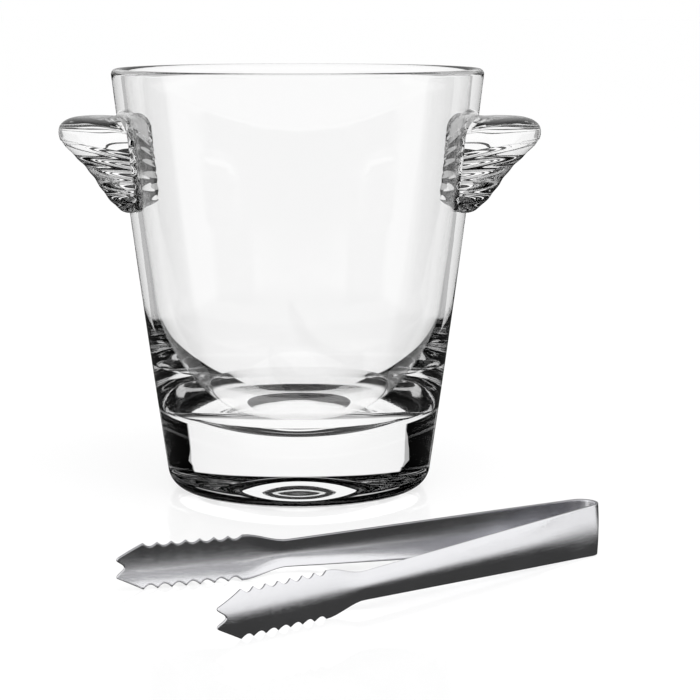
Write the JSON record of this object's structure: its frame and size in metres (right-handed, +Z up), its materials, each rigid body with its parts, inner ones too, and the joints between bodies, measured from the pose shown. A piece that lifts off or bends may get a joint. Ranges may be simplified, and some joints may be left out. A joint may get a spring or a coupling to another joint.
{
  "type": "ice bucket with tongs",
  "caption": "Tapered clear glass ice bucket with a heavy solid foot and ribbed ear handles, with bent steel ice tongs lying in front of it.",
  "frame": {"origin": "on the table, under the middle of the box that holds the bucket and the tongs", "axes": "+Z up; the ears point along X; the tongs lie in front of the bucket on its -Y side"},
  "size_m": [0.2306, 0.3484, 0.19],
  "materials": {
    "clear_glass": "clear colourless soda-lime glass, fire polished",
    "tongs_steel": "satin-polished stainless steel strip"
  },
  "bodies": {
    "bucket": {"glass_vessel": "clear_glass", "left_handle": "clear_glass", "right_handle": "clear_glass"},
    "tongs_bow": {"tongs_bow": "tongs_steel"},
    "tongs_near_arm": {"tongs_near_arm": "tongs_steel"},
    "tongs_far_arm": {"tongs_far_arm": "tongs_steel"}
  },
  "joints": [
    {"name": "tongs_lift", "type": "slide", "parent": "bucket", "child": "tongs_bow", "axis": [0, 0, 1], "range_m": [0, 0.25]},
    {"name": "near_arm_squeeze", "type": "hinge", "parent": "tongs_bow", "child": "tongs_near_arm", "pos_m": [0.11271, -0.04856, 0.0104], "axis": [0, 0, -1], "range_deg": [0, 11.5], "stiffness_Nm_per_rad": 3},
    {"name": "far_arm_squeeze", "type": "hinge", "parent": "tongs_bow", "child": "tongs_far_arm", "pos_m": [0.10644, -0.0381, 0.0104], "axis": [0, 0, 1], "range_deg": [0, 11.5], "stiffness_Nm_per_rad": 3}
  ],
  "couplings": [
    {"joint": "far_arm_squeeze", "follows": "near_arm_squeeze", "ratio": 1}
  ]
}
